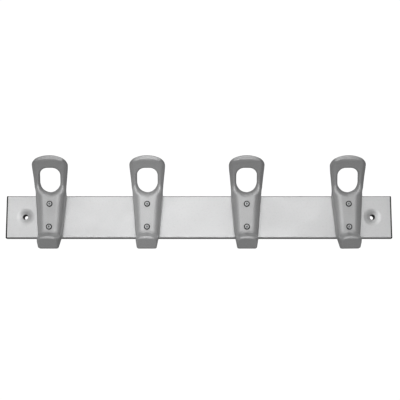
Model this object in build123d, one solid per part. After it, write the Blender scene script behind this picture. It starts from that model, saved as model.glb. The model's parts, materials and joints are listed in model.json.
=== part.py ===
from build123d import *
import os
from math import sqrt

# Wall hook rack, in millimetres. X runs along the rail, Z is up, and the rack hangs on the wall plane
# Y = 0 with its front facing -Y. The origin is the middle of the two wall screws, on the wall plane.

# Rail: a folded sheet channel, open at the back.
overall_length = 600
rail_height = 66.5
rail_depth = 13
sheet = 1.5
bend_radius = 2.2
return_lip = 9
rail_face = -rail_depth

# End caps: a plate over the rail's end and a plug inside it.
cap_plate = 2.3
cap_edge = 0.7
plug_depth = 10
plug_wall = 2
plug_clearance = 0.1

# Wall fixing: a dished hole in the rail over a cup-shaped screw bush.
screw_spacing = 540
screw_hole = 6
rail_hole = 8.8
dish_radius = 14
dish_depth = 1.8
bush_diameter = 18
bush_collar = 8.6
bush_counterbore = 7.8
bush_floor = 3
collar_reach = 1.2

# Middles of the hooks along the rail. The inner two sit a little to the left of an even pitch.
hook_places = (-229.5, -79.6, 73.4, 230.0)

# Hook body, with "reach" as the distance in front of the rail's face.
body_reach = 21
body_top = 30
loop_radius = 85
loop_thickness = 11
rim_reach = 39.5
rim_low = 82
hook_top = 91
hook_bottom = -51.3
base_half = 31
neck_top = 47
toe_reach = 38
toe_edge = -38.5
rivet_pitch = 35.4
edge_round = 4.5
overshoot = 30

# Loop opening, square to the leaning loop.
opening_width = 31.8
opening_height = 42
opening_tilt = 32
opening_low = 30

# Rivets that hold each hook.
rivet_diameter = 4.8
rivet_bore = 2.7
mandrel_diameter = 2.6
rivet_clearance = 0.05
rivet_head = 9.5
rivet_head_height = 1.6
mandrel_recess = 0.5
blind_bulb = 6.8
blind_length = 5
mandrel_head = 4.6
mandrel_head_length = 2.2

# Hollow back of the casting.
casting_wall = 3.5
hollow_half = 25
boss_diameter = 12


def along_rail(profile, length):
    """Extrude a profile drawn in Y and Z to both sides of X = 0."""
    return extrude(Plane.YZ * profile, amount=length / 2, both=True)


def rail_outline(inset=0.0):
    """The rail's outer section, moved in by inset all round."""
    corner = max(bend_radius - inset, 0.5)
    section = RectangleRounded(rail_depth - 2 * inset, rail_height - 2 * inset, corner)
    return Pos(-rail_depth / 2, 0) * section


def rod_along_y(radius, y_front, y_back, x=0.0, z=0.0):
    """A round rod along Y, from y_front to y_back."""
    turned = Plane(origin=(x, y_front, z), x_dir=(1, 0, 0), z_dir=(0, 1, 0))
    return extrude(turned * Circle(radius), amount=y_back - y_front)


def turned_along_y(outline, x=0.0, z=0.0):
    """Turn an outline, drawn as radius and Y, about the line through x and z along Y."""
    ring = revolve(Plane.XY * outline, axis=Axis.Y, revolution_arc=360)
    return Pos(x, 0, z) * ring


# ---------------------------------------------------------------- rail

def dish_sheet():
    """The pressed dish round a screw hole: a ring of sheet that sinks smoothly towards the hole."""
    hole = rail_hole / 2
    soft = dish_radius * 0.68
    low = hole + dish_radius * 0.15
    rings = []
    for depth in (0, sheet):
        y_rim = rail_face + depth
        y_hole = y_rim + dish_depth
        rings.append(Bezier((dish_radius, y_rim), (soft, y_rim), (low, y_hole), (hole, y_hole)))
    front, back = rings
    outline = make_face([front, Line(front @ 1, back @ 1), back, Line(front @ 0, back @ 0)])
    return turned_along_y(outline)


def make_rail():
    open_back = Rectangle(3 * sheet, rail_height - 2 * return_lip)
    section = rail_outline() - rail_outline(sheet) - open_back
    rail = along_rail(section, overall_length - 2 * cap_plate)
    dish = dish_sheet()
    for x in (-screw_spacing / 2, screw_spacing / 2):
        rail -= rod_along_y(dish_radius, rail_face - 1, rail_face + 2 * sheet, x)
        rail += Pos(x, 0, 0) * dish
    for x in hook_places:
        for z in (-rivet_pitch / 2, rivet_pitch / 2):
            rail -= rod_along_y(rivet_diameter / 2 + rivet_clearance, rail_face - 1, rail_face + 2 * sheet, x, z)
    return rail


def make_end_cap(side):
    plate = extrude(Plane.YZ * rail_outline(), amount=cap_plate)
    plate = fillet(plate.faces().sort_by(Axis.X)[-1].edges(), cap_edge)
    plug_inset = sheet + plug_clearance
    plug_section = rail_outline(plug_inset) - rail_outline(plug_inset + plug_wall)
    cap = plate + extrude(Plane.YZ * plug_section, amount=-plug_depth)
    cap = Pos(overall_length / 2 - cap_plate, 0, 0) * cap
    if side < 0:
        cap = mirror(cap, about=Plane.YZ)
    return cap


def make_bush(x):
    seat = rail_face + dish_depth + sheet
    bush = rod_along_y(bush_diameter / 2, seat, 0, x)
    bush += rod_along_y(bush_collar / 2, seat - collar_reach, 0, x)
    bush -= rod_along_y(bush_counterbore / 2, seat - 2 * collar_reach, -bush_floor, x)
    bush -= rod_along_y(screw_hole / 2, seat - 2 * collar_reach, 1, x)
    return bush


# ---------------------------------------------------------------- hook

def front_reach(z):
    """How far the front of the body stands in front of the rail at height z."""
    rise = max(z - body_top, 0)
    return body_reach + loop_radius - sqrt(loop_radius**2 - rise**2)


def section_at(z, back_half, knee_reach, ridge_half, reach, inset=0.0):
    """Cross-section of the hook at height z: upright flanks, slanted shoulders and a flat front."""
    back = back_half - inset
    ridge = ridge_half - inset / 2
    half = [(ridge, reach - inset), (back, knee_reach), (back, -2)]
    corners = [(x, rail_face - t) for x, t in half]
    mirrored = [(-x, y) for x, y in reversed(corners)]
    outline = make_face(Polyline(mirrored + corners, close=True))
    front_corners = outline.vertices().sort_by(Axis.Y)[:4]
    return Pos(0, 0, z) * fillet(front_corners, edge_round)


# Height, half-width of the back, reach of the flank's knee, half-width of the front flat, reach.
body_sections = tuple(
    (*row, front_reach(row[0]))
    for row in (
        (-40, 16.6, 8, 8.8),
        (-18, 19.6, 8, 9.2),
        (5, 21.4, 8, 9.8),
        (27, 23.3, 9, 12.0),
        (43, 24.2, 12, 16.8),
        (58, 25.6, 17.5, 19.0),
        (75, 27.4, 28, 20.5),
        (hook_top + 3, 28.2, 40, 21.5),
    )
)
toe_sections = (
    (hook_bottom - 2, 14.5, toe_reach - 6, 11, toe_reach),
    (-42, 16.0, toe_reach - 6, 11, toe_reach),
    (-34, 17.0, toe_reach - 8, 11, toe_reach - 1),
    (-27, 18.3, 17, 9.6, body_reach + 6),
    (-20, 19.4, 7, 9.0, body_reach - 1),
)


def loft_through(rows, inset=0.0):
    return loft([section_at(*row, inset) for row in rows])


def arc_point(radius, rise):
    """Point on the loop's lean, an arc about a centre in front of the body, at a rise above it."""
    return (body_reach + loop_radius - sqrt(radius**2 - rise**2), body_top + rise)


def side_outline():
    """Side view of the hook as reach and height, closed along the rail's face."""
    inner = loop_radius
    outer = loop_radius + loop_thickness
    rim_rise = rim_low - body_top
    front_tip = arc_point(inner, rim_rise)
    back_tip = arc_point(outer, rim_rise)
    front_base = (body_reach, body_top)
    neck_point = arc_point(outer, neck_top - body_top)
    edges = [
        Bezier((0, -base_half), (6, -40), (12, hook_bottom), (20, hook_bottom)),
        Line((20, hook_bottom), (26, hook_bottom)),
        Bezier((26, hook_bottom), (28, hook_bottom), (29, hook_bottom + 2)),
        Line((29, hook_bottom + 2), (toe_reach, toe_edge)),
        Bezier((toe_reach, toe_edge), (toe_reach, -33), (toe_reach - 1, -31), (toe_reach - 4, -31)),
        Bezier((toe_reach - 4, -31), (toe_reach - 8, -31), (body_reach, -35), (body_reach, -24)),
        Line((body_reach, -24), front_base),
        ThreePointArc(front_base, arc_point(inner, rim_rise / 2), front_tip),
        Bezier(front_tip, (rim_reach + 0.8, rim_low + 3.5), (rim_reach, hook_top), (rim_reach - 5, hook_top)),
        Line((rim_reach - 5, hook_top), (back_tip[0] + 5.5, hook_top)),
        Bezier((back_tip[0] + 5.5, hook_top), (back_tip[0] + 3.5, hook_top), back_tip),
        ThreePointArc(back_tip, arc_point(outer, rim_rise * 0.6), neck_point),
        Bezier(neck_point, (neck_point[0] - 1, neck_top - 6), (5, base_half + 5), (0, base_half + 1)),
        Line((0, base_half + 1), (0, base_half)),
        Line((0, base_half), (0, -base_half)),
    ]
    return make_face(edges)


def side_slab():
    """The side outline as a slab across the hook."""
    sideways = Plane(origin=(-overshoot, rail_face, 0), x_dir=(0, -1, 0), z_dir=(-1, 0, 0))
    return extrude(sideways * side_outline(), amount=-2 * overshoot)


def front_outline():
    """Front view of the hook's outer edge, with an arched top and rounded toe corners."""
    widest_z = 77
    toe_corner = (16, hook_bottom + 5.2)
    right = [
        Line((0, hook_bottom), (11.5, hook_bottom)),
        ThreePointArc((11.5, hook_bottom), (14.9, hook_bottom + 1.5), toe_corner),
        Line(toe_corner, (overshoot, 10)),
        Line((overshoot, 10), (overshoot, widest_z - 8)),
        Line((overshoot, widest_z - 8), (27.6, widest_z)),
        ThreePointArc((27.6, widest_z), (25.6, 82), (20.1, 86.4)),
        ThreePointArc((20.1, 86.4), (10.8, 89.8), (0, hook_top)),
    ]
    left = [mirror(edge, about=Plane.YZ) for edge in right]
    return make_face(right + left)


def front_slab():
    """The front outline as a block in front of the rail."""
    upright = Plane(origin=(0, rail_face + 1, 0), x_dir=(1, 0, 0), z_dir=(0, -1, 0))
    return extrude(upright * front_outline(), amount=2 * overshoot + 2)


def opening_cutter():
    """The loop's opening: round at the bottom, softly square at the top, and tilted with the loop."""
    half = opening_width / 2
    outline = Rectangle(opening_width, opening_height, align=(Align.CENTER, Align.MIN))
    low = outline.vertices().group_by(Axis.Y)[0]
    outline = fillet(low, half - 0.5)
    high = outline.vertices().group_by(Axis.Y)[-1]
    outline = fillet(high, 8)
    tilted = Plane(origin=(0, rail_face - body_reach, opening_low), x_dir=(1, 0, 0), z_dir=(0, -1, 0))
    tilted = tilted.rotated((opening_tilt, 0, 0))
    return extrude(tilted * outline, amount=overshoot, both=True)


def hollow_back():
    """The pocket in the back of the casting, less the two rivet bosses."""
    rows = [row for row in body_sections if row[0] < hook_top / 2]
    pocket = loft_through(rows, casting_wall)
    limit = Pos(0, rail_face, 0) * Box(2 * overshoot, 2 * body_reach, 2 * hollow_half)
    pocket = pocket & limit
    for z in (-rivet_pitch / 2, rivet_pitch / 2):
        pocket -= rod_along_y(boss_diameter / 2, rail_face - 2 * body_reach, rail_face + 3, 0, z)
    return pocket


def make_hook():
    body = loft_through(body_sections) + loft_through(toe_sections)
    hook = body & side_slab() & front_slab()
    hook -= opening_cutter()
    hook -= hollow_back()
    for z in (-rivet_pitch / 2, rivet_pitch / 2):
        hook -= rod_along_y(rivet_diameter / 2 + rivet_clearance, rail_face - 2 * body_reach, rail_face + 3, 0, z)
    return hook


# ---------------------------------------------------------------- rivets

def make_rivet(x, z):
    """A set blind rivet: domed head, shank and the bulb behind the rail's sheet."""
    face = rail_face - body_reach
    sheet_back = rail_face + sheet
    head = rivet_head / 2
    dome = ThreePointArc(
        (head, face), (head * 0.72, face - rivet_head_height * 0.72), (rivet_bore / 2, face - rivet_head_height)
    )
    shank = rivet_diameter / 2
    bulb = blind_bulb / 2
    bore = rivet_bore / 2
    blind_end = sheet_back + blind_length
    wall = Polyline(
        (bore, face - rivet_head_height), (bore, blind_end), (bulb - 1, blind_end), (bulb, blind_end - 1),
        (bulb, sheet_back + 0.8), (bulb - 0.8, sheet_back), (shank, sheet_back), (shank, face), (head, face)
    )
    return turned_along_y(make_face([dome, wall]), x, z)


def make_mandrel(x, z):
    """The broken-off mandrel that stays inside a blind rivet."""
    start = rail_face - body_reach - rivet_head_height + mandrel_recess
    blind_end = rail_face + sheet + blind_length
    stem = rod_along_y(mandrel_diameter / 2, start, blind_end, x, z)
    head = rod_along_y(mandrel_head / 2, blind_end, blind_end + mandrel_head_length, x, z)
    return stem + head


# ---------------------------------------------------------------- output

def write(name, solid):
    export_step(solid, f"parts/{name}.step")


os.makedirs("parts", exist_ok=True)
write("rail", make_rail())
for side, name in ((-1, "left"), (1, "right")):
    write(f"end_cap_{name}", make_end_cap(side))
    write(f"screw_bush_{name}", make_bush(side * screw_spacing / 2))

hook = make_hook()
for number, x in enumerate(hook_places, start=1):
    write(f"hook_{number}", Pos(x, 0, 0) * hook)
    for level, z in (("upper", rivet_pitch / 2), ("lower", -rivet_pitch / 2)):
        write(f"rivet_{number}_{level}", make_rivet(x, z))
        write(f"mandrel_{number}_{level}", make_mandrel(x, z))
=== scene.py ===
import bpy
import cmath
import json
import math
import numpy as np
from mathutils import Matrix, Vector


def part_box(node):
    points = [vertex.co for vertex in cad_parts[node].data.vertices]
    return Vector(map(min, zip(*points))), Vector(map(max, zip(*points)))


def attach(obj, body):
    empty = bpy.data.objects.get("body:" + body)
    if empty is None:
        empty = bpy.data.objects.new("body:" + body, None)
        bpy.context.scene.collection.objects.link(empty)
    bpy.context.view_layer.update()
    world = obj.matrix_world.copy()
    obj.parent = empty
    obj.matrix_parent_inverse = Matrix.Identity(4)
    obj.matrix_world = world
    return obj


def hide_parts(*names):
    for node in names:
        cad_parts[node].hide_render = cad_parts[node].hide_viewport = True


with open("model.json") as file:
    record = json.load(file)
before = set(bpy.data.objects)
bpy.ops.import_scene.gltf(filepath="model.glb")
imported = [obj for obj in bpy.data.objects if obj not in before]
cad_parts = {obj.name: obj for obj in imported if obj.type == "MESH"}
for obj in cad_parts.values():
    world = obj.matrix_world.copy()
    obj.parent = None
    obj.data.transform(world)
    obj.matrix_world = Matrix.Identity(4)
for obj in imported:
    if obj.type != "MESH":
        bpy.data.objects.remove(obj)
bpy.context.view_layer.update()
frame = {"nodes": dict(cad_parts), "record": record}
nodes = frame["nodes"]
MM = 0.001


# ---------------------------------------------------------------- hook surface
# The hook is a smooth casting, made as an implicit surface in millimetres: x across, t the reach in front of
# the rail's face, z up. Values are signed distances, negative inside.

hook_low, hook_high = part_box("hook_1")
HOOK_BOTTOM = round(hook_low.z / MM, 2)
HOOK_TOP = round(hook_high.z / MM, 2)
RAIL_FACE = round(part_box("rail")[0].y / MM, 2)

BODY_REACH = 21.0
BODY_TOP = 30.0
LOOP_RADIUS = 85.0
LOOP_THICKNESS = 11.0
NECK_LOW = 47.0
RIM_LOW = 79.3
RIM_REACH = 39.6

# The lip, from its underside's edge over its upright face and its rounded top to the crease behind it.
TOE_REACH = 38.0
TOE_EDGE = -37.6
LIP_FACE_TOP = -38.5
LIP_TOP = -32.6
CREASE_TOP = -22.5
LIP_ARCH = 0.014

# The loop's opening, in the plane of the tilted loop. It narrows by OPENING_TAPER times the square of the
# depth below its middle, and OPENING_TIP blunts its lowest point.
OPENING_HALF = 16.0
OPENING_LOW = 31.8
OPENING_HEIGHT = 38.5
OPENING_TILT = math.radians(32)
OPENING_LOW_CORNER = OPENING_HALF - 0.5
OPENING_HIGH_CORNER = 12.0
OPENING_TAPER = 0.010
OPENING_TIP = 2.0

FLANK_DRAFT = 0.085
FLANK_FILLET = 3.2
UNDER_FILLET = 2.4

# Well outside the hook, where the side outlines are closed.
FAR_BACK = -60
FAR_FRONT = 80
FAR_LOW = -80
FAR_HIGH = 120

# Cross-sections from below upwards: height, half-width of the back, reach of the flank's knee, half-width of
# the front flat, reach of the front.
SECTIONS = np.array((
    (-56, 14.3, 31, 12.2, 38),
    (-42, 16.0, 31, 13.0, 38),
    (-35, 17.2, 30.5, 13.6, 37.4),
    (-31, 17.9, 26.5, 14.0, 33),
    (-26, 18.8, 16.6, 13.0, 21),
    (5, 21.4, 16.1, 13.8, 21),
    (27, 23.3, 15.7, 15.7, 21),
    (43, 24.2, 17.4, 18.6, 22),
    (58, 25.6, 21.8, 20.4, 25.7),
    (75, 27.4, 29.6, 22.0, 33.8),
    (94, 28.2, 42, 22.8, 48),
), float)


def bezier(*points, steps=20):
    """Points of a quadratic or cubic curve, without its first point."""
    s = np.linspace(0, 1, steps + 1)[1:, None]
    level = [np.array(point, float) for point in points]
    while len(level) > 1:
        level = [a + (b - a) * s for a, b in zip(level, level[1:])]
    return level[0].tolist()


def arc(first, second, third, steps=12):
    """Points of the arc through three points, without the first."""
    a, b, c = (complex(*point) for point in (first, second, third))
    w = (c - a) / (b - a)
    centre = a - (a - b) * (w - abs(w) ** 2) / 2j / w.imag
    turn = cmath.phase((c - centre) / (a - centre))
    spun = [centre + (a - centre) * cmath.exp(1j * turn * s) for s in np.linspace(0, 1, steps + 1)[1:]]
    return [(point.real, point.imag) for point in spun]


def lean(radius, low, high, steps=40):
    """Points of the loop's lean, an arc about a centre in front of the body, between two heights."""
    z = np.linspace(low, high, steps)
    t = BODY_REACH + LOOP_RADIUS - np.sqrt(radius**2 - (z - BODY_TOP) ** 2)
    return np.stack([t, z], 1).tolist()


def front_curve():
    """Side view: everything behind the lip, the body's front, the lean and the upright rim."""
    lip_face = (TOE_REACH, LIP_FACE_TOP)
    lip_back = (TOE_REACH - 4, LIP_TOP)
    line = [(FAR_BACK, FAR_LOW), (TOE_REACH, FAR_LOW), lip_face]
    line += bezier(lip_face, (TOE_REACH, LIP_FACE_TOP + 3), (TOE_REACH - 1.5, LIP_TOP - 1), lip_back)
    crease = (BODY_REACH, CREASE_TOP)
    line += bezier(lip_back, (BODY_REACH + 5, LIP_TOP + 3.4), (BODY_REACH, LIP_TOP + 5), crease)
    line += lean(LOOP_RADIUS, BODY_TOP, RIM_LOW)
    line += bezier(line[-1], (RIM_REACH, RIM_LOW + 3.1), (RIM_REACH, RIM_LOW + 6.5), steps=12)
    return line + [(RIM_REACH, FAR_HIGH), (FAR_BACK, FAR_HIGH)]


def back_curve():
    """Side view: everything in front of the rail's face, the neck and the back of the lean."""
    base_top = (0, 32)
    neck = lean(LOOP_RADIUS + LOOP_THICKNESS, NECK_LOW, HOOK_TOP + 6)
    line = [(0, FAR_LOW), base_top]
    line += bezier(base_top, (5, 36), (neck[0][0] - 1, NECK_LOW - 6), neck[0])
    return line + neck[1:] + [(neck[-1][0], FAR_HIGH), (FAR_FRONT, FAR_HIGH), (FAR_FRONT, FAR_LOW)]


def under_curve():
    """Side view: everything above the toe's underside."""
    base_low = (0, -31)
    toe_flat = (26, HOOK_BOTTOM)
    line = [(0, FAR_HIGH), base_low]
    line += bezier(base_low, (6, -40), (12, HOOK_BOTTOM), (20, HOOK_BOTTOM))
    line += [toe_flat]
    line += bezier(toe_flat, (28, HOOK_BOTTOM), (29, HOOK_BOTTOM + 2), steps=6)
    return line + [(TOE_REACH, TOE_EDGE), (TOE_REACH + 20, TOE_EDGE + 24), (TOE_REACH + 20, FAR_HIGH)]


def front_outline():
    """Front view: the arched top, the widest place below it and the toe's rounded corners."""
    toe_low = (11.5, HOOK_BOTTOM)
    toe_corner = (16, HOOK_BOTTOM + 5.2)
    widest = (27.6, 77)
    crown_side = (20.1, 86.4)
    right = [(0, HOOK_BOTTOM - 6), (8, HOOK_BOTTOM - 6), toe_low]
    right += arc(toe_low, (14.9, HOOK_BOTTOM + 1.5), toe_corner)
    right += [(30, 10), (30, 69), widest]
    right += arc(widest, (25.6, 82), crown_side)
    right += arc(crown_side, (10.8, 89.8), (0, HOOK_TOP), 20)
    return right + [(-x, z) for x, z in reversed(right[1:-1])]


def polygon_field(outline, u, v):
    """Signed distance in a plane from points (u, v) to a closed outline, and its direction.

    On the outline itself, where that direction is lost, the edge's own outward direction takes its place."""
    u, v = np.broadcast_arrays(u, v)
    nearest = np.full(u.shape, 1e9)
    away_u, away_v, edge_u, edge_v = (np.zeros(u.shape) for _ in range(4))
    inside = np.zeros(u.shape, bool)
    edges = list(zip(outline, outline[1:] + outline[:1]))
    turn = sum(au * bv - bu * av for (au, av), (bu, bv) in edges)
    for (au, av), (bu, bv) in edges:
        eu, ev = bu - au, bv - av
        square_length = eu * eu + ev * ev
        if square_length < 1e-12:
            continue
        du, dv = u - au, v - av
        s = np.clip((du * eu + dv * ev) / square_length, 0, 1)
        du, dv = du - s * eu, dv - s * ev
        square = du * du + dv * dv
        closer = square < nearest
        nearest = np.where(closer, square, nearest)
        away_u = np.where(closer, du, away_u)
        away_v = np.where(closer, dv, away_v)
        outward = math.copysign(1 / math.sqrt(square_length), turn)
        edge_u = np.where(closer, ev * outward, edge_u)
        edge_v = np.where(closer, -eu * outward, edge_v)
        if ev != 0:
            inside ^= ((av > v) != (bv > v)) & (u < bu - (bv - v) * eu / ev)
    distance = np.sqrt(nearest)
    sign = np.where(inside, -1.0, 1.0)
    scale = sign / np.maximum(distance, 1e-9)
    on_edge = distance < 1e-4
    direction_u = np.where(on_edge, edge_u, away_u * scale)
    direction_v = np.where(on_edge, edge_v, away_v * scale)
    return distance * sign, direction_u, direction_v


def field(distance, nx, nt, nz):
    """A signed distance with its direction, all of one shape."""
    return list(np.broadcast_arrays(*(np.asarray(v, float) for v in (distance, nx, nt, nz))))


def round_meet(a, b, radius):
    """Intersection of two shapes, with a fillet of that radius along their common edge."""
    c = np.clip(a[1] * b[1] + a[2] * b[2] + a[3] * b[3], -0.9, 0.995)
    u, v = a[0] + radius, b[0] + radius
    share_a = (u - c * v) / (1 - c * c)
    share_b = (v - c * u) / (1 - c * c)
    rounded = (share_a > 0) & (share_b > 0)
    size = np.sqrt(np.maximum(share_a * u + share_b * v, 1e-12))
    first = a[0] > b[0]
    met = [np.where(rounded, size - radius, np.where(first, a[0], b[0]))]
    for k in (1, 2, 3):
        met.append(np.where(rounded, (share_a * a[k] + share_b * b[k]) / size, np.where(first, a[k], b[k])))
    return met


def ramp(z, low, high, a, b):
    """Goes smoothly from a below the height low to b above the height high."""
    s = np.clip((z - low) / (high - low), 0, 1)
    return a + (b - a) * s * s * (3 - 2 * s)


def steady_slopes(heights, values):
    """Slopes for a smooth curve through values that never overshoots them."""
    span = np.diff(heights)[:, None]
    secant = np.diff(values, axis=0) / span
    before, after = secant[:-1], secant[1:]
    same = before * after > 0
    mean = 2 * before * after / np.where(same, before + after, 1)
    inner = np.where(same, mean, 0)
    return np.concatenate([secant[:1], inner, secant[-1:]])


def section_rows(z):
    """The section's four sizes at height z and how fast each changes with height."""
    heights, values = SECTIONS[:, 0], SECTIONS[:, 1:]
    slopes = steady_slopes(heights, values)
    z = np.clip(z, heights[0], heights[-1] - 1e-6)
    i = np.clip(np.searchsorted(heights, z, side="right") - 1, 0, len(heights) - 2)
    span = heights[i + 1] - heights[i]
    s = (z - heights[i]) / span
    sizes, changes = [], []
    for k in range(values.shape[1]):
        y0, y1 = values[i, k], values[i + 1, k]
        m0, m1 = slopes[i, k] * span, slopes[i + 1, k] * span
        sizes.append((2 * s**3 - 3 * s**2 + 1) * y0 + (s**3 - 2 * s**2 + s) * m0
                     + (3 * s**2 - 2 * s**3) * y1 + (s**3 - s**2) * m1)
        changes.append(((6 * s**2 - 6 * s) * (y0 - y1) + (3 * s**2 - 4 * s + 1) * m0
                        + (3 * s**2 - 2 * s) * m1) / span)
    return sizes, changes


CURVES = {"front": front_curve(), "back": back_curve(), "under": under_curve(), "outline": front_outline()}


def flank_field(x, t, z):
    """The hook's side, drafted a little towards the front below the loop.

    The draft's own change with height is left out of the direction."""
    (half, _, _, _), (half_slope, _, _, _) = section_rows(z)
    draft = ramp(z, 25, 45, FLANK_DRAFT, 0) * ramp(z, -36, -26, 0, 1)
    steep = np.sqrt(1 + half_slope**2 + draft**2)
    return field((x - half + draft * t) / steep, 1 / steep, draft / steep, -half_slope / steep)


def shoulder_field(x, t, z):
    """The slanted face between the front's flat and the flank."""
    arch = np.where(z < 0, LIP_ARCH, 0)
    z = z + arch * x * x
    (half, knee, ridge, reach), (half_s, knee_s, ridge_s, reach_s) = section_rows(z)
    down, across = reach - knee, half - ridge
    value = (x - ridge) * down + (t - reach) * across
    rise = (x - ridge) * (reach_s - knee_s) - ridge_s * down
    rise = rise + (t - reach) * (half_s - ridge_s) - reach_s * across
    tilt = down + 2 * arch * x * rise
    size = np.sqrt(tilt**2 + across**2 + rise**2)
    return field(value / size, tilt / size, across / size, rise / size)


def opening_field(x, t, z):
    """The loop's opening, turned inside out: negative outside it."""
    lean_t, lean_z = math.sin(OPENING_TILT), math.cos(OPENING_TILT)
    middle = (t - BODY_REACH) * lean_t + (z - OPENING_LOW) * lean_z - OPENING_HEIGHT / 2
    corner = np.where(middle < 0, OPENING_LOW_CORNER, OPENING_HIGH_CORNER)
    side = np.where(middle < 0, -1.0, 1.0)
    low = np.minimum(middle + 2, 0)
    taper = OPENING_TAPER * low**2
    taper_slope = 2 * OPENING_TAPER * low
    across = np.sqrt(x * x + OPENING_TIP**2)
    qx = across - OPENING_HALF + corner + taper
    qz = np.abs(middle) - OPENING_HEIGHT / 2 + corner
    qx, qz, corner, side, taper_slope = np.broadcast_arrays(qx, qz, corner, side, taper_slope)
    size = np.hypot(np.maximum(qx, 0), np.maximum(qz, 0))
    value = np.minimum(np.maximum(qx, qz), 0) + size - corner
    both = (qx > 0) & (qz > 0)
    gx = np.where(both, qx / np.maximum(size, 1e-9), qx > qz)
    gz = np.where(both, qz / np.maximum(size, 1e-9), qx <= qz) * side + gx * taper_slope
    gx = gx * x / across
    steep = np.maximum(np.hypot(gx, gz), 0.1)
    gx, gz = gx / steep, gz / steep
    return field(-value / steep, -gx, -gz * lean_t, -gz * lean_z)


def arched_front_field(x, t, z):
    """The side view's front. The lip and its crease are arched: lower towards the sides."""
    arch = np.where(z < 0, LIP_ARCH, 0)
    distance, nt, nz = polygon_field(CURVES["front"], t, z + arch * x * x)
    nx = 2 * arch * x * nz
    steep = np.sqrt(1 + nx**2)
    return field(distance / steep, nx / steep, nt / steep, nz / steep)


def side_field(curve, t, z):
    """A side view carried straight across the hook."""
    distance, nt, nz = polygon_field(CURVES[curve], t, z)
    return field(distance, 0, nt, nz)


def outline_field(x, z):
    """The front view carried straight to the wall."""
    distance, nx, nz = polygon_field(CURVES["outline"], x, z)
    return field(distance, nx, 0, nz)


def hook_field(x, t, z):
    """Signed distance to the hook with its direction, for points with x, t and z in millimetres."""
    mirrored = np.where(x < 0, -1.0, 1.0)
    x = np.abs(x)
    # The radius of most fillets changes with height.
    shoulder_fillet = ramp(z, -34, -22, 9.0, 18.0) - ramp(z, 28, 52, 0, 11.0)
    solid = round_meet(arched_front_field(x, t, z), shoulder_field(x, t, z), shoulder_fillet)
    solid = round_meet(solid, flank_field(x, t, z), FLANK_FILLET)
    solid = round_meet(solid, outline_field(x, z), ramp(z, 72, 84, 1.0, 5.0))
    solid = round_meet(solid, side_field("back", t, z), ramp(z, 30, 48, 0.6, 2.6))
    solid = round_meet(solid, side_field("under", t, z), UNDER_FILLET)
    solid = round_meet(solid, opening_field(x, t, z), ramp(z, 34, 50, 9.0, 3.4))
    solid[1] = solid[1] * mirrored
    return solid


def crossing_points(values, cells):
    """For each cell, the middle of the places where the surface crosses its edges, in grid steps."""
    total = np.zeros((len(cells), 3))
    hits = np.zeros(len(cells))
    for axis in range(3):
        others = [a for a in range(3) if a != axis]
        for i in (0, 1):
            for j in (0, 1):
                start = cells.copy()
                start[:, others[0]] += i
                start[:, others[1]] += j
                end = start.copy()
                end[:, axis] += 1
                a = values[tuple(start.T)]
                b = values[tuple(end.T)]
                crossing = (a < 0) != (b < 0)
                point = start.astype(float)
                point[:, axis] += np.where(crossing, a / np.where(crossing, a - b, 1), 0)
                total += point * crossing[:, None]
                hits += crossing
    return total / hits[:, None]


def crossing_quads(inside, index):
    """A quad round each grid edge that the surface crosses, from the numbers of the four cells round it."""
    quads = []
    for axis in range(3):
        u, v = (axis + 1) % 3, (axis + 2) % 3
        keep = [slice(None)] * 3
        keep[axis] = slice(0, inside.shape[axis] - 1)
        keep[u] = slice(1, inside.shape[u] - 1)
        keep[v] = slice(1, inside.shape[v] - 1)
        mask = np.zeros_like(inside)
        mask[tuple(keep)] = (inside != np.roll(inside, -1, axis))[tuple(keep)]
        at = np.argwhere(mask)
        corners = []
        for du, dv in ((-1, -1), (0, -1), (0, 0), (-1, 0)):
            cell = at.copy()
            cell[:, u] += du
            cell[:, v] += dv
            corners.append(index[tuple(cell.T)])
        quad = np.stack(corners, 1)
        outward = inside[tuple(at.T)]
        quad[~outward] = quad[~outward][:, ::-1]
        quads.append(quad)
    return np.concatenate(quads)


def surface_nets(values, low, step):
    """Points and quads round the zero level of a grid of values, one point in each cell that it crosses."""
    inside = values < 0
    cells = tuple(n - 1 for n in values.shape)
    count = np.zeros(cells, int)
    for i in (0, 1):
        for j in (0, 1):
            for k in (0, 1):
                count += inside[i:i + cells[0], j:j + cells[1], k:k + cells[2]]
    active = (count > 0) & (count < 8)
    index = np.full(cells, -1)
    index[active] = np.arange(active.sum())
    points = low + step * crossing_points(values, np.argwhere(active))
    return points, crossing_quads(inside, index)


def gather(index, rows, count):
    """Sums three-part rows into count rows, by index."""
    return np.stack([np.bincount(index, rows[:, axis], count) for axis in range(3)], 1)


def settle(points, quads, rounds=4, evening=0.6):
    """Evens out the points between the first and the last round, and brings them onto the surface."""
    edges = np.concatenate([quads[:, [a, (a + 1) % 4]] for a in range(4)])
    a, b = np.unique(np.sort(edges, 1), axis=0).T
    degree = np.bincount(np.concatenate([a, b]), minlength=len(points))[:, None]
    for turn in range(rounds):
        if 0 < turn < rounds - 1:
            total = gather(a, points[b], len(points)) + gather(b, points[a], len(points))
            points = points * (1 - evening) + total / degree * evening
        distance, *direction = hook_field(*points.T)
        points = points - distance[:, None] * np.stack(direction, 1)
    return points


def outward_normals(points, quads, outside=0.2):
    """The field's directions, read a little outside the surface, where they are well defined."""
    across = np.cross(points[quads[:, 2]] - points[quads[:, 0]], points[quads[:, 3]] - points[quads[:, 1]])
    rough = sum(gather(quads[:, corner], across, len(points)) for corner in range(4))
    rough /= np.linalg.norm(rough, axis=1)[:, None]
    normals = np.stack(hook_field(*(points + outside * rough).T)[1:], 1)
    return normals / np.linalg.norm(normals, axis=1)[:, None]


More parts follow.
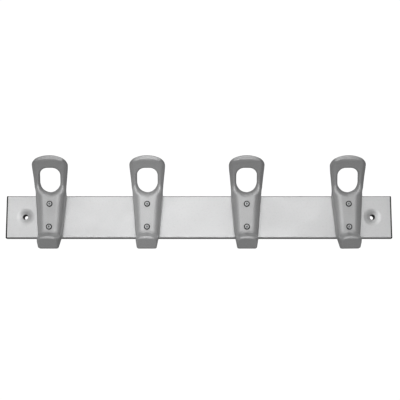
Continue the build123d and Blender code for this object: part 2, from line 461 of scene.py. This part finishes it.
def hook_mesh(step=1.0):
    """The hook as a mesh, from a grid with that step in millimetres."""
    # The small shift keeps the grid's points off the hook's flat faces.
    low = np.array((-31.0, -2.5, -54.5)) + 0.013
    high = np.array((31.0, 43.0, 95.0))
    axes = [np.arange(a, b, step) for a, b in zip(low, high)]
    x, t, z = np.meshgrid(*axes, indexing="ij", sparse=True)
    points, quads = surface_nets(hook_field(x, t, z)[0], low, step)
    points = settle(points, quads)
    normals = outward_normals(points, quads)
    # From (x, t, z) to the row frame, with Y = RAIL_FACE - t: a mirror, so each quad is turned round.
    placed = np.stack([points[:, 0], RAIL_FACE - points[:, 1], points[:, 2]], 1) * MM
    facing = normals * (1, -1, 1)
    mesh = bpy.data.meshes.new("hook_casting")
    mesh.from_pydata(placed.tolist(), [], quads[:, ::-1].tolist())
    mesh.polygons.foreach_set("use_smooth", [True] * len(mesh.polygons))
    mesh.normals_split_custom_set_from_vertices(facing.tolist())
    return mesh


# ---------------------------------------------------------------- materials

class Shading:
    """Adds shader nodes to a node tree and links them."""

    def __init__(self, tree):
        self.tree = tree

    def set(self, node, key, value):
        socket = node.inputs[key]
        if isinstance(value, bpy.types.NodeSocket):
            self.tree.links.new(value, socket)
        else:
            socket.default_value = value

    def add(self, kind, inputs=None, **settings):
        node = self.tree.nodes.new(kind)
        for key, value in settings.items():
            setattr(node, key, value)
        for key, value in (inputs or {}).items():
            self.set(node, key, value)
        return node

    def calc(self, operation, a, b=0.0, c=0.0):
        return self.add("ShaderNodeMath", {0: a, 1: b, 2: c}, operation=operation).outputs[0]

    def span(self, value, low, high, to_low, to_high):
        inputs = {"Value": value, "From Min": low, "From Max": high, "To Min": to_low, "To Max": to_high}
        return self.add("ShaderNodeMapRange", inputs).outputs["Result"]

    def parts(self, vector):
        return self.add("ShaderNodeSeparateXYZ", {0: vector}).outputs


class Finish(Shading):
    """A new material and its textures, which lie in the row frame and have their scales per metre."""

    def __init__(self, name):
        self.material = bpy.data.materials.new(name)
        self.material.use_nodes = True
        super().__init__(self.material.node_tree)
        self.geometry = self.add("ShaderNodeNewGeometry").outputs

    def noise(self, scale, detail=3.0, rough=0.55):
        inputs = {"Vector": self.geometry["Position"], "Scale": scale, "Detail": detail, "Roughness": rough}
        return self.add("ShaderNodeTexNoise", inputs).outputs["Fac"]

    def cells(self, scale):
        inputs = {"Vector": self.geometry["Position"], "Scale": scale}
        return self.add("ShaderNodeTexVoronoi", inputs).outputs["Distance"]

    def tint(self, share, dark, light):
        """Colour between dark and light. A colour mix has its share in socket 0, the colours in 6 and 7."""
        inputs = {0: share, 6: (*dark, 1), 7: (*light, 1)}
        return self.add("ShaderNodeMix", inputs, data_type="RGBA").outputs[2]

    def bump(self, height, distance, strength=1.0, under=None):
        inputs = {"Height": height, "Distance": distance, "Strength": strength}
        if under is not None:
            inputs["Normal"] = under
        return self.add("ShaderNodeBump", inputs).outputs["Normal"]

    def surface(self, **values):
        for key, value in values.items():
            self.set(self.tree.nodes["Principled BSDF"], key.replace("_", " "), value)
        return self.material


def grey(value, cool=0.0):
    """A grey, a little bluer where cool is above 0."""
    return (value * (1 - cool), value, value * (1 + cool))


def rail_paint():
    n = Finish("rail_satin_paint")
    flake = n.noise(2600, 2.0)
    mottle = n.noise(420, 4.0, 0.6)
    cloud = n.noise(28, 2.0)
    mixed = n.calc("ADD", n.calc("MULTIPLY", flake, 0.35), n.calc("MULTIPLY", mottle, 0.65))
    # Painted shade round each screw hole: darkest near the hole's middle, gone 10 mm out.
    low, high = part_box("screw_bush_right")
    at = n.parts(n.geometry["Position"])
    aside = n.calc("SUBTRACT", n.calc("ABSOLUTE", at["X"]), (low.x + high.x) / 2)
    away = n.calc("SQRT", n.calc("ADD", n.calc("POWER", aside, 2.0), n.calc("POWER", at["Z"], 2.0)))
    painted_hole_shade = n.span(away, 2.5 * MM, 10 * MM, 0.64, 1.0)
    # Painted shade on the bends too, set by which way they face: darker on those facing down than on those
    # facing up.
    upward = n.parts(n.geometry["Normal"])["Z"]
    painted_bend_shade = n.calc("MINIMUM", n.span(upward, 0.15, 0.7, 1.0, 0.50), n.span(upward, -0.7, -0.2, 0.36, 1.0))
    shade = n.calc("MULTIPLY", painted_hole_shade, painted_bend_shade)
    shade = n.calc("MULTIPLY", shade, n.span(mixed, 0.32, 0.68, 0.92, 1.08))
    colour = n.tint(shade, grey(0.0, 0.004), grey(0.72, 0.004))
    rough = n.calc("ADD", n.span(mottle, 0.3, 0.7, 0.36, 0.46), n.span(cloud, 0.3, 0.7, -0.02, 0.02))
    skin = n.bump(mottle, 0.06 * MM, 0.5)
    skin = n.bump(flake, 0.02 * MM, 0.6, skin)
    return n.surface(Base_Color=colour, Metallic=0.55, Roughness=rough, Normal=skin)


def hook_paint(name, dark, light):
    n = Finish(name)
    flake = n.noise(3200, 2.0)
    peel = n.noise(650, 3.0)
    cloud = n.noise(60, 3.0)
    mixed = n.calc("ADD", n.calc("MULTIPLY", flake, 0.5), n.calc("MULTIPLY", peel, 0.5))
    colour = n.tint(n.span(mixed, 0.35, 0.65, 0, 1), grey(dark, 0.004), grey(light, 0.004))
    rough = n.calc("ADD", n.span(peel, 0.3, 0.7, 0.38, 0.46), n.span(cloud, 0.3, 0.7, -0.03, 0.03))
    skin = n.bump(cloud, 0.3 * MM, 0.12)
    skin = n.bump(peel, 0.05 * MM, 0.5, skin)
    skin = n.bump(flake, 0.02 * MM, 0.5, skin)
    return n.surface(Base_Color=colour, Metallic=0.58, Roughness=rough, Normal=skin)


def black_plastic():
    n = Finish("moulded_black_plastic")
    grain = n.cells(1900)
    fine = n.noise(5200, 2.0)
    cloud = n.noise(90, 2.0)
    colour = n.tint(n.span(cloud, 0.3, 0.7, 0, 1), grey(0.018, 0.02), grey(0.030, 0.02))
    rough = n.span(fine, 0.3, 0.7, 0.44, 0.58)
    skin = n.bump(grain, 0.05 * MM, 0.7)
    skin = n.bump(fine, 0.02 * MM, 0.5, skin)
    return n.surface(Base_Color=colour, Roughness=rough, Normal=skin)


def rivet_metal():
    n = Finish("rivet_aluminium")
    marks = n.noise(1500, 4.0, 0.7)
    fine = n.noise(6000, 2.0)
    colour = n.tint(n.span(marks, 0.3, 0.7, 0, 1), grey(0.56, 0.006), grey(0.74, 0.006))
    rough = n.span(fine, 0.3, 0.7, 0.24, 0.38)
    skin = n.bump(marks, 0.06 * MM, 0.5)
    return n.surface(Base_Color=colour, Metallic=1.0, Roughness=rough, Normal=skin)


# Near-black painted shade for the rivet's rolled edge and groove, standing in for the shadow round the head.
def rivet_painted_shade():
    n = Finish("rivet_edge_painted_shade")
    patch = n.noise(900, 4.0, 0.65)
    colour = n.tint(n.span(patch, 0.3, 0.7, 0, 1), grey(0.02, 0.006), grey(0.06, 0.006))
    rough = n.span(patch, 0.3, 0.7, 0.42, 0.60)
    skin = n.bump(patch, 0.1 * MM, 0.5)
    return n.surface(Base_Color=colour, Metallic=0.6, Roughness=rough, Normal=skin)


def mandrel_metal():
    n = Finish("mandrel_steel")
    torn = n.noise(2600, 5.0, 0.7)
    colour = n.tint(n.span(torn, 0.3, 0.7, 0, 1), grey(0.22, 0.01), grey(0.42, 0.01))
    rough = n.span(torn, 0.3, 0.7, 0.5, 0.35)
    skin = n.bump(torn, 0.2 * MM, 0.8)
    return n.surface(Base_Color=colour, Metallic=1.0, Roughness=rough, Normal=skin)


def stage_paper():
    n = Finish("stage_paper")
    fibre = n.noise(60, 4.0)
    # Pale to look at, while throwing less light up under the rack.
    seen = n.add("ShaderNodeLightPath").outputs["Is Camera Ray"]
    share = n.calc("MULTIPLY", n.span(seen, 0, 1, 0.65, 1.0), n.span(fibre, 0.3, 0.7, 0.95, 1.0))
    colour = n.tint(share, grey(0.0), grey(0.95))
    return n.surface(Base_Color=colour, Roughness=0.9, Emission_Color=(1, 1, 1, 1),
                     Emission_Strength=n.calc("MULTIPLY", seen, 0.22))


def coat(mesh, material):
    mesh.materials.clear()
    mesh.materials.append(material)


# ---------------------------------------------------------------- pieces

def turned(name, profile, uneven=0.0, steps=40):
    """A mesh turned about the y axis from (radius, y) points in millimetres, outside to the line's left."""
    rows = []
    for k, (radius, y) in enumerate(profile):
        ring = []
        for j in range(steps):
            angle = 2 * math.pi * j / steps
            wave = 1 + uneven * math.sin(3 * angle + k) * min(radius, 1)
            ring.append((radius * wave * math.cos(angle) * MM, y * MM, radius * wave * math.sin(angle) * MM))
        rows.append(ring)
    corners = [corner for ring in rows for corner in ring]
    faces = []
    for k in range(len(rows) - 1):
        for j in range(steps):
            a, b = k * steps + j, k * steps + (j + 1) % steps
            faces.append((a, b, b + steps, a + steps))
    faces.append(tuple(reversed(range(steps))))
    faces.append(tuple(range((len(rows) - 1) * steps, len(rows) * steps)))
    mesh = bpy.data.meshes.new(name)
    mesh.from_pydata(corners, [], faces)
    mesh.polygons.foreach_set("use_smooth", [True] * len(mesh.polygons))
    mesh.set_sharp_from_angle(angle=math.radians(50))
    return mesh


def rivet_mesh():
    """A set blind rivet: rolled flange, dome, dimple round the bore, shank and the bulb behind the sheet."""
    front = RAIL_FACE - BODY_REACH
    bore = [(1.0, front + 2.0), (1.35, front + 0.4), (1.4, front - 0.9), (1.6, front - 1.3)]
    dome = [(2.0, front - 1.55), (2.5, front - 1.58), (3.0, front - 1.42), (3.35, front - 1.15)]
    groove = [(3.6, front - 0.75), (3.8, front - 0.62)]
    rolled_edge = [(4.1, front - 0.72), (4.4, front - 0.7), (4.65, front - 0.45), (4.7, front - 0.15)]
    shank = [(4.55, front + 0.02), (2.4, front + 0.02), (2.4, -11.5)]
    bulb = [(2.8, -11.4), (3.4, -10.7), (3.4, -7.6), (3.1, -6.8), (2.4, -6.5), (1.0, -6.5)]
    mesh = turned("rivet_turned", bore + dome + groove + rolled_edge + shank + bulb)
    # The rolled edge and its groove get a near-black painted shade for the shadow round the head; the dome
    # keeps the bright rivet metal.
    dome_radius = 3.1 * MM
    for polygon in mesh.polygons:
        x, y, z = polygon.center
        if math.hypot(x, z) > dome_radius and y < RAIL_FACE * MM:
            polygon.material_index = 1
    return mesh


def mandrel_mesh():
    """The broken stem left in the bore, torn at its end, and the head that closed the bulb."""
    front = RAIL_FACE - BODY_REACH
    torn_end = [(0.25, front - 1.22), (0.55, front - 1.0), (0.8, front - 1.12), (1.1, front - 0.95)]
    stem = [(1.27, front - 0.7), (1.27, -6.6)]
    head = [(2.1, -6.4), (2.25, -6.0), (2.2, -5.0), (1.5, -4.3), (0.3, -4.2)]
    return turned("mandrel_turned", torn_end + stem + head, 0.05)


finishes = {
    "rail": rail_paint(),
    "hook": hook_paint("hook_cast_satin", 0.44, 0.52),
    "plastic": black_plastic(),
    "rivet": rivet_metal(),
    "mandrel": mandrel_metal(),
}
for entry in frame["record"]["subparts"]:
    coat(nodes[entry["node"]].data, finishes[entry["material_slot"]])

# Degrees by which each hook stands crooked, and the hook that gets a paler copy of the hook paint: painted
# light for the extra light it catches.
ROLLS = (0, 0, 0, -0.7)
PAINTED_LIGHT_HOOK = 2

casting = hook_mesh()
coat(casting, finishes["hook"])
# A paler copy of the hook paint, as painted light for the one hook that looks brighter.
painted_light_casting = casting.copy()
painted_light_casting.name = "hook_casting_painted_light"
coat(painted_light_casting, hook_paint("hook_cast_satin_painted_light", 0.52, 0.61))
rivet = rivet_mesh()
rivet.materials.append(finishes["rivet"])
# Second slot: the painted shade on the rivet's rolled edge and groove.
rivet.materials.append(rivet_painted_shade())
mandrel = mandrel_mesh()
mandrel.materials.append(finishes["mandrel"])


def swap_in(piece_name, mesh, node, z=None, roll=0.0):
    """Puts a shared mesh, modelled about the y axis, at the middle of a CAD node's box, or at height z."""
    low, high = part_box(node)
    piece = bpy.data.objects.new(piece_name, mesh)
    bpy.context.scene.collection.objects.link(piece)
    piece.location = ((low.x + high.x) / 2, 0, (low.z + high.z) / 2 if z is None else z)
    piece.rotation_euler.y = math.radians(roll)
    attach(piece, "root")
    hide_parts(node)


for number, roll in enumerate(ROLLS, start=1):
    for level in ("upper", "lower"):
        swap_in(f"rivet_body_{number}_{level}", rivet, f"rivet_{number}_{level}")
        swap_in(f"mandrel_stem_{number}_{level}", mandrel, f"mandrel_{number}_{level}")
    hook = painted_light_casting if number == PAINTED_LIGHT_HOOK else casting
    swap_in(f"hook_casting_{number}", hook, f"hook_{number}", z=0, roll=roll)


# ---------------------------------------------------------------- stage, light and camera

def stage_floor(radius=3, height=-1.1, rings=48):
    """A large round floor, well below the rack."""
    angles = [2 * math.pi * k / rings for k in range(rings)]
    corners = [(radius * math.cos(angle), radius * math.sin(angle), height) for angle in angles]
    mesh = bpy.data.meshes.new("stage_floor")
    mesh.from_pydata(corners, [], [list(range(rings))])
    floor = bpy.data.objects.new("stage_floor", mesh)
    bpy.context.scene.collection.objects.link(floor)
    coat(mesh, stage_paper())


def softbox(name, place, width, height, power):
    """A rectangle of light that faces the origin."""
    light = bpy.data.lights.new(name, "AREA")
    light.shape = "RECTANGLE"
    light.size = width
    light.size_y = height
    light.energy = power
    lamp = bpy.data.objects.new(name, light)
    bpy.context.scene.collection.objects.link(lamp)
    lamp.location = place
    lamp.rotation_euler = (-Vector(place)).to_track_quat("-Z", "Y").to_euler()


def surroundings(glow, level, from_above, from_left):
    """White where the camera sees past the rack; elsewhere soft light, stronger from above and the left."""
    world = bpy.data.worlds.new("studio")
    bpy.context.scene.world = world
    world.use_nodes = True
    world.node_tree.nodes.clear()
    n = Shading(world.node_tree)
    seen = n.add("ShaderNodeBackground", {"Color": (glow, glow, glow, 1)}).outputs[0]
    heading = n.parts(n.add("ShaderNodeTexCoord").outputs["Generated"])
    strength = n.calc("MULTIPLY_ADD", heading["Z"], from_above, level)
    strength = n.calc("MULTIPLY_ADD", heading["X"], -from_left, strength)
    light = n.add("ShaderNodeBackground", {"Color": strength}).outputs[0]
    to_camera = n.add("ShaderNodeLightPath").outputs["Is Camera Ray"]
    both = n.add("ShaderNodeMixShader", {0: to_camera, 1: light, 2: seen}).outputs[0]
    n.add("ShaderNodeOutputWorld", {"Surface": both})


# Name, place, width, height and power of each softbox.
SOFTBOXES = (
    ("front", (-0.07, -2.6, 0.2), 1.5, 0.9, 9.0),
    ("front_strip", (0, -1.9, 0.2), 2.2, 0.5, 2.2),
    ("upper_left", (-1.2, -2.2, 0.9), 1.0, 1.0, 1.8),
    ("left", (-2.4, -0.9, 0.1), 1.2, 1.2, 2.0),
    ("top", (0, -0.7, 2.0), 1.6, 1.0, 9.0),
    ("high_front", (0, -2.2, 1.3), 1.4, 0.8, 3.8),
)

stage_floor()
for each in SOFTBOXES:
    softbox(*each)
surroundings(glow=1.05, level=0.23, from_above=0.13, from_left=0.05)

scene = bpy.context.scene
scene.view_settings.view_transform = "Standard"
scene.view_settings.look = "None"

lens = bpy.data.cameras.new("camera")
lens.lens = 81.7
lens.sensor_width = 36
camera = bpy.data.objects.new("camera", lens)
scene.collection.objects.link(camera)
camera.location = (0.0016, -1.413, -0.1874)
camera.rotation_euler = (math.radians(98.7), 0, 0)
scene.camera = camera
